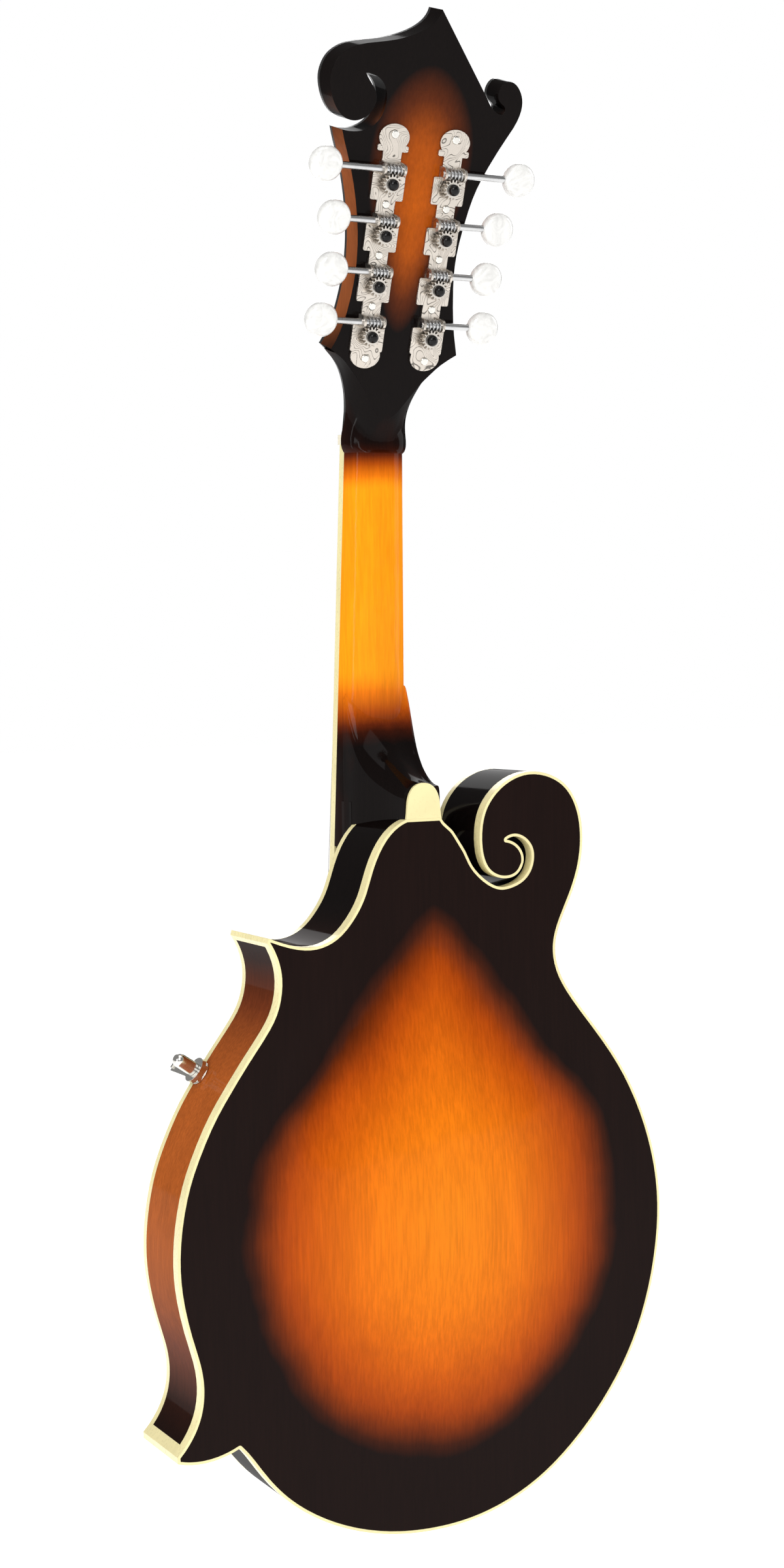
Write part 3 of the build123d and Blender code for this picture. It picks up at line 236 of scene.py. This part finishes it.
def neck_wood():
    """Amber along the neck, black at heel and nut, with a narrow brown burst on the headstock's rear."""
    shader = Shader("neck_wood")
    x, _, z = shader.split()
    toward_head = shader.span(z, -0.024, 0.001)
    toward_heel = shader.span(z, -0.106, -0.146)
    wander = shader.span(shader.noise((30, 30, 12), detail=3.0), 0.2, 0.8, -0.05, 0.05)
    ends = shader.math("ADD", shader.math("MAXIMUM", toward_head, toward_heel), wander)
    amber = shader.ramp(ends, [(0, linear(254, 154, 20)), (0.23, linear(226, 116, 15)),
                               (0.56, linear(168, 72, 10)), (0.78, linear(94, 34, 10)),
                               (0.88, linear(52, 18, 7)), (1.0, DARK)])
    widening = shader.span(z, 0.06, 0.15, 0.0165, 0.031)
    across = shader.math("DIVIDE", shader.math("ABSOLUTE", x), widening)
    height = shader.math("DIVIDE", shader.math("ABSOLUTE", shader.math("SUBTRACT", z, 0.106)), 0.057)
    reach = shader.math("POWER", shader.math("ADD", shader.math("POWER", across, 1.9),
                                             shader.math("POWER", height, 1.9)), 0.53)
    head = shader.ramp(reach, [(0, linear(184, 86, 12)), (0.4, linear(166, 76, 13)),
                               (0.75, linear(88, 38, 13)), (1.0, DARK)])
    facing = shader.split(shader.coordinates["Normal"])[0]
    sideways = shader.span(shader.math("ABSOLUTE", facing), 0.55, 0.9)
    middle = shader.math("MULTIPLY", shader.span(z, 0.035, 0.065), shader.span(z, 0.150, 0.118))
    edge_tone = shader.mix(shader.math("MULTIPLY", sideways, middle), head, linear(150, 82, 44))
    on_head = shader.math("GREATER_THAN", z, 0.020)
    shader.set(Base_Color=wood_tint(shader, shader.mix(on_head, amber, edge_tone), 0.22))
    lacquer(shader)
    return shader.material


def raw_wood(name, colour, rough=0.6, coat=0.0):
    shader = Shader(name)
    shader.set(Base_Color=wood_tint(shader, four(colour), 0.35), Coat_Weight=coat)
    shader.set(Roughness=shader.span(shader.noise((300, 300, 20)), 0.3, 0.7, rough - 0.08, rough + 0.08))
    return shader.material


def plastic(name, colour, rough=0.22, mottle=0.06, scale=40.0, coat=0.3, spec=0.35):
    """Polished plastic or bone with faint cloudy variation."""
    shader = Shader(name)
    cloud = shader.noise((scale, scale, scale * 0.4), detail=5.0, distortion=1.0)
    shade = shader.grey(shader.span(cloud, 0.3, 0.7, 0.9 - mottle, 0.96))
    shader.set(Base_Color=shader.mix(1.0, colour, shade, "MULTIPLY"), Coat_Weight=coat)
    shader.set(Roughness=shader.span(shader.noise((500, 500, 500)), 0.3, 0.7, rough, rough + 0.1))
    shader.set(Coat_Roughness=0.08, Specular_IOR_Level=spec)
    shader.bump(cloud, 0.00002, 0.2)
    return shader.material


def pearl(name, colour=(0.80, 0.80, 0.78)):
    """Pearl-like plastic: curled bright and grey patches under a clear polish."""
    shader = Shader(name)
    swirl = shader.noise((130, 130, 130), detail=5.0, roughness=0.55, distortion=2.6)
    tone = shader.ramp(swirl, [(0.25, tuple(0.8 * c for c in colour)), (0.5, colour),
                               (0.75, tuple(1.1 * c for c in colour))])
    shader.set(Base_Color=tone, Coat_Weight=0.7)
    shader.set(Roughness=shader.span(swirl, 0.3, 0.7, 0.18, 0.3), Coat_Roughness=0.04)
    shader.bump(swirl, 0.00002, 0.2)
    return shader.material


def engraved(name, colour, rough=0.16, curl=70.0):
    """Plated metal cut with flowing curved lines, with painted shade inside the cuts: their base colour is
    darker.
    """
    shader = Shader(name, Metallic=1.0)
    field = shader.noise((curl, curl, curl), detail=0.0, distortion=1.4)
    waves = shader.math("ABSOLUTE", shader.math("SINE", shader.math("MULTIPLY", field, 46.0)))
    cut = shader.span(waves, 0.0, 0.32)
    patches = shader.noise((200, 200, 200), detail=5.0)
    # painted shade: inside the cuts the base colour drops to 0.22 of the plate's colour
    shader.set(Base_Color=shader.mix(cut, tuple(0.22 * c for c in colour), colour))
    shader.set(Roughness=shader.span(patches, 0.3, 0.75, rough, rough + 0.16))
    shader.bump(cut, 0.00012, 0.8)
    return shader.material


def metal(name, colour, rough=0.14, wear=0.12, brushed=None):
    """Plated or brushed metal with fine scratches and slightly dull patches."""
    shader = Shader(name, Metallic=1.0)
    patches = shader.noise((160, 160, 160), detail=4.0)
    scratches = shader.noise(brushed or (2600, 700, 900), detail=2.0)
    dull = shader.span(patches, 0.35, 0.75, rough, rough + wear)
    tone = shader.span(patches, 0.3, 0.8, 1.0, 0.88)
    shader.set(Base_Color=shader.mix(1.0, colour, shader.grey(tone), "MULTIPLY"), Roughness=dull)
    shader.bump(scratches, 0.00001, 0.3)
    return shader.material


def wound(name):
    """String wire with the ripple of its winding."""
    shader = Shader(name, Metallic=1.0)
    x, _, z = shader.split()
    thick = shader.span(x, 0.002, -0.004)
    tone = shader.mix(thick, linear(205, 203, 198), linear(196, 160, 100))
    ripple = shader.math("SINE", shader.math("MULTIPLY", z, 16000.0))
    shader.set(Base_Color=tone, Roughness=0.28)
    shader.bump(shader.math("MULTIPLY", ripple, thick), 0.00006, 0.6)
    return shader.material


FINISH = {
    "spruce_top": burst_wood("burst_top", (0.0, -0.372), 0.100, 0.150, 0.112, 1.6),
    "maple_back": burst_wood("burst_back", (-0.004, -0.365), 0.100, 0.146, 0.114, 1.25),
    "maple_sides": side_wood(),
    "maple_neck": neck_wood(),
    "cream_binding": plastic("cream_binding", linear(236, 224, 168), 0.25, 0.05),
    "inner_wood": raw_wood("inner_wood", linear(214, 180, 132)),
    "rod_steel": metal("bright_steel", linear(200, 200, 200), 0.2),
    "tuner_steel": metal("tuner_steel", linear(196, 190, 182), 0.2),
    "black_trim": plastic("black_trim", linear(9, 8, 8), 0.12, 0.1, coat=0.2, spec=0.15),
    "black_veneer": raw_wood("black_veneer", linear(12, 10, 9), 0.3, 0.2),
    "ebony": raw_wood("ebony", linear(42, 33, 29), 0.42, 0.25),
    "fret_wire": metal("fret_wire", linear(214, 210, 200), 0.2),
    "pearl": pearl("pearl_dots"),
    "bone": plastic("bone", linear(236, 228, 205), 0.3, 0.08),
    "brass_posts": metal("brass", linear(212, 176, 110), 0.25),
    "nickel": metal("nickel", linear(222, 220, 214), 0.12),
    "guard_plastic": plastic("guard_plastic", linear(12, 11, 11), 0.12, 0.1, coat=0.2, spec=0.15),
    "string_steel": wound("string_wire"),
    "pearloid_buttons": pearl("pearloid", (0.68, 0.675, 0.655)),
}
SLOT_OF = {part["node"]: part["material_slot"] for part in frame["record"]["subparts"]}
for node, obj in frame["nodes"].items():
    obj.data.materials.clear()
    obj.data.materials.append(FINISH[SLOT_OF[node]])
PLATED = linear(222, 220, 214)
frame["nodes"]["tuner_plates"].data.materials[0] = engraved("engraved_plate", linear(204, 196, 186), 0.24)
frame["nodes"]["tailpiece_cover"].data.materials[0] = engraved("engraved_cover", PLATED, 0.14, 38.0)

# the gears' caps are black; they are the faces above the teeth
HEAD_TILT = radians(19.2)
HEAD_FOOT = Vector((0, 16.2, 2.0)) * MM
HEAD_REAR = Vector((0, cos(HEAD_TILT), -sin(HEAD_TILT)))
CAP_FOOT = 5.74 * MM
for node, obj in frame["nodes"].items():
    if node.startswith("tuner_") and node.endswith("_post"):
        obj.data.materials.append(FINISH["black_trim"])
        for face in obj.data.polygons:
            if (obj.matrix_world @ face.center - HEAD_FOOT).dot(HEAD_REAR) > CAP_FOOT:
                face.material_index = 1


# ------------------------------------------------------------------ added pieces
def piece(name, vertices, faces, finish, body):
    """A smooth-shaded mesh with outward normals that moves with a CAD body."""
    mesh = bpy.data.meshes.new(name)
    mesh.from_pydata(vertices, [], faces)
    work = bmesh.new()
    work.from_mesh(mesh)
    bmesh.ops.recalc_face_normals(work, faces=work.faces)
    work.to_mesh(mesh)
    work.free()
    mesh.polygons.foreach_set("use_smooth", [True] * len(mesh.polygons))
    mesh.materials.append(FINISH[finish])
    made = bpy.data.objects.new(name, mesh)
    bpy.context.scene.collection.objects.link(made)
    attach(made, body)


def lofted(rings, closed_ends=True):
    """Vertices and faces of a skin through rings with equally many points."""
    count = len(rings[0])
    vertices = [point for ring in rings for point in ring]
    faces = []
    for level in range(len(rings) - 1):
        for i in range(count):
            j = (i + 1) % count
            low, high = level * count, (level + 1) * count
            faces.append((low + i, low + j, high + j, high + i))
    if closed_ends:
        faces.append(tuple(range(count)))
        faces.append(tuple(range(len(vertices) - count, len(vertices))))
    return vertices, faces


def tube(path, radius, sides=8):
    rings = []
    for i, point in enumerate(path):
        ahead = path[min(i + 1, len(path) - 1)] - path[max(i - 1, 0)]
        across = ahead.orthogonal().normalized()
        if rings:
            across = rings[-1][0] - path[i - 1]
            across = (across - ahead * (across.dot(ahead) / ahead.length_squared)).normalized()
        beside = ahead.normalized().cross(across)
        rings.append([point + (across * cos(2 * pi * k / sides) + beside * sin(2 * pi * k / sides)) * radius
                      for k in range(sides)])
    return lofted(rings)


# oval shield with a beaded edge on the tailpiece cover
SHIELD_PROFILE = [(1.0, -0.3), (1.0, 0.5), (0.97, 0.95), (0.92, 1.1), (0.87, 0.95), (0.83, 0.5),
                  (0.78, 0.5), (0.66, 1.0), (0.5, 1.4), (0.3, 1.65), (0.12, 1.75)]
SHIELD_HALF, SHIELD_FRONT, SHIELD_MIDDLE = (12.5 * MM, 20.0 * MM), -5.0 * MM, -486.0 * MM
SHIELD_SIDES = 48
shield = []
for share, rise in SHIELD_PROFILE:
    angles = [2 * pi * k / SHIELD_SIDES for k in range(SHIELD_SIDES)]
    shield.append([Vector((SHIELD_HALF[0] * share * cos(angle), SHIELD_FRONT - rise * MM,
                           SHIELD_MIDDLE + SHIELD_HALF[1] * share * sin(angle))) for angle in angles])
piece("tailpiece_shield", *lofted(shield), "nickel", "tail_cover")

# ribbed edges of the bridge's thumbwheels
RIBS = 36
RIB_RADIUS, RIB_DEPTH = 6.12 * MM, 0.2 * MM
for row in ("bass", "treble"):
    wheel_low, wheel_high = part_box("bridge_thumbwheel_" + row)
    hub = (Vector(wheel_low) + Vector(wheel_high)) / 2
    rings = []
    for share, y in ((0.97, wheel_low[1] + 0.1 * MM), (1.0, wheel_low[1] + 0.4 * MM),
                     (1.0, wheel_high[1] - 0.4 * MM), (0.97, wheel_high[1] - 0.1 * MM)):
        ring = []
        for k in range(4 * RIBS):
            radius = (RIB_RADIUS + RIB_DEPTH * sin(pi / 4 + pi / 2 * k)) * share
            angle = 2 * pi * k / (4 * RIBS)
            ring.append(Vector((hub.x + radius * cos(angle), y, hub.z + radius * sin(angle))))
        rings.append(ring)
    piece("thumbwheel_ribs_" + row, *lofted(rings, closed_ends=False), "brass_posts", "thumbwheel_" + row)

# string wound round each post, just inside where the string arrives
POST_X, FIRST_POST, POST_PITCH = 15.6 * MM, 48.4 * MM, 23.0 * MM
WIRE, TURNS, STEPS = 0.24 * MM, 4, 20
HEAD_UP = Vector((0, sin(HEAD_TILT), cos(HEAD_TILT)))
WINDING_SEARCH = 6 * MM               # how near a post a string's point counts as arriving there
TURN_SPACING = 2.15 * WIRE
strings = frame["nodes"]["strings"]
string_points = [strings.matrix_world @ vertex.co for vertex in strings.data.vertices]
for row, hand in (("treble", 1), ("bass", -1)):
    for index in range(4):
        foot = HEAD_FOOT + Vector((hand * POST_X, 0, 0)) + HEAD_UP * (FIRST_POST + POST_PITCH * index)
        near = []
        for point in string_points:
            height = (point - foot).dot(HEAD_REAR)
            off = (point - foot - HEAD_REAR * height).length
            if off < WINDING_SEARCH:
                near.append((off, height))
        reach = min(off for off, height in near) - WIRE
        level = sum(height for off, height in near) / len(near)
        path = []
        for k in range(TURNS * STEPS + 1):
            angle = 2 * pi * k / STEPS
            climb = level + (k / STEPS - TURNS / 2) * TURN_SPACING
            outward = Vector((cos(angle), 0, 0)) + HEAD_UP * sin(angle)
            path.append(foot + HEAD_REAR * climb + outward * reach)
        number = f"{row}_{index + 1}"
        piece("winding_" + number, *tube(path, WIRE), "string_steel", f"tuner_{number}_gear")

# ------------------------------------------------------------------ floor, light and camera
FLOOR_DROP = 0.20
FLOOR_SIZE = 30


def area_light(name, place, target, size, power):
    data = bpy.data.lights.new(name, "AREA")
    data.shape = "RECTANGLE"
    data.size, data.size_y = size
    data.energy = power
    lamp = bpy.data.objects.new(name, data)
    lamp.location = place
    lamp.rotation_euler = (Vector(target) - Vector(place)).to_track_quat("-Z", "Y").to_euler()
    bpy.context.scene.collection.objects.link(lamp)


bpy.ops.mesh.primitive_plane_add(size=FLOOR_SIZE, location=(0, 0, cad_box[0][2] - FLOOR_DROP))
floor = bpy.context.object
floor.name = "floor"
pale = Shader("pale_floor", Specular_IOR_Level=0.0, Emission_Color=(1, 1, 1, 1),
              Emission_Strength=0.62)
speck = pale.noise((3, 3, 3))
pale.set(Base_Color=pale.ramp(speck, [(0, (0.78, 0.78, 0.78)), (1, (0.82, 0.82, 0.82))]))
pale.set(Roughness=pale.span(speck, 0.3, 0.7, 0.8, 0.95))
floor.data.materials.append(pale.material)

world = bpy.data.worlds.new("studio")
bpy.context.scene.world = world
world.use_nodes = True
sky = world.node_tree
background = sky.nodes["Background"]
background.inputs["Color"].default_value = (1, 1, 1, 1)
rays = sky.nodes.new("ShaderNodeLightPath").outputs
AMBIENT, MIRRORED, SEEN = 0.52, 0.30, 1.0


def choose(ray, usual, special):
    """Strength of the surroundings: special for rays of that kind, usual for the others."""
    level = sky.nodes.new("ShaderNodeMapRange")
    for name, value in (("Value", rays[ray]), ("To Min", usual), ("To Max", special)):
        if isinstance(value, bpy.types.NodeSocket):
            sky.links.new(value, level.inputs[name])
        else:
            level.inputs[name].default_value = value
    return level.outputs[0]


strength = choose("Is Camera Ray", choose("Is Glossy Ray", AMBIENT, MIRRORED), SEEN)
sky.links.new(strength, background.inputs["Strength"])

body_centre = (0.0, 0.03, -0.25)
# name, place, target, size and power of each lamp
LAMPS = [
    ("key", (1.3, 1.9, 1.0), body_centre, (1.2, 1.2), 28),
    ("fill", (-2.3, 0.5, 0.6), body_centre, (1.2, 1.8), 18),
    ("top", (0.2, 0.6, 2.0), body_centre, (1.6, 1.6), 12),
    ("front", (-0.8, -2.0, 0.8), body_centre, (1.6, 1.6), 24),
    ("strip", (1.9, 0.6, 0.0), (0, 0.02, -0.1), (0.25, 1.6), 8),
]
for lamp in LAMPS:
    area_light(*lamp)

EYE = Vector((0.5169, 1.0107, -0.1029))
YAW, PITCH, ROLL = radians(27.31), radians(3.29), radians(-0.91)
LENS_SHIFT = (0.006458, 0.007375)      # as shares of the picture's height
back = Vector((sin(YAW), cos(YAW), 0))
right = Vector((-cos(YAW), sin(YAW), 0))
up = Vector((0, 0, 1))
toward_eye = back * cos(PITCH) + up * sin(PITCH)
above = up * cos(PITCH) - back * sin(PITCH)
side = right * cos(ROLL) + above * sin(ROLL)
crown = above * cos(ROLL) - right * sin(ROLL)
camera_data = bpy.data.cameras.new("camera")
camera_data.sensor_fit = "VERTICAL"
camera_data.sensor_height = 24.0
camera_data.lens = 36.0
camera_data.shift_x, camera_data.shift_y = LENS_SHIFT
camera_data.clip_start = 0.01
camera = bpy.data.objects.new("camera", camera_data)
camera.matrix_world = Matrix((
    (side.x, crown.x, toward_eye.x, EYE.x),
    (side.y, crown.y, toward_eye.y, EYE.y),
    (side.z, crown.z, toward_eye.z, EYE.z),
    (0, 0, 0, 1),
))
bpy.context.scene.collection.objects.link(camera)
bpy.context.scene.camera = camera
bpy.context.scene.view_settings.view_transform = "Standard"
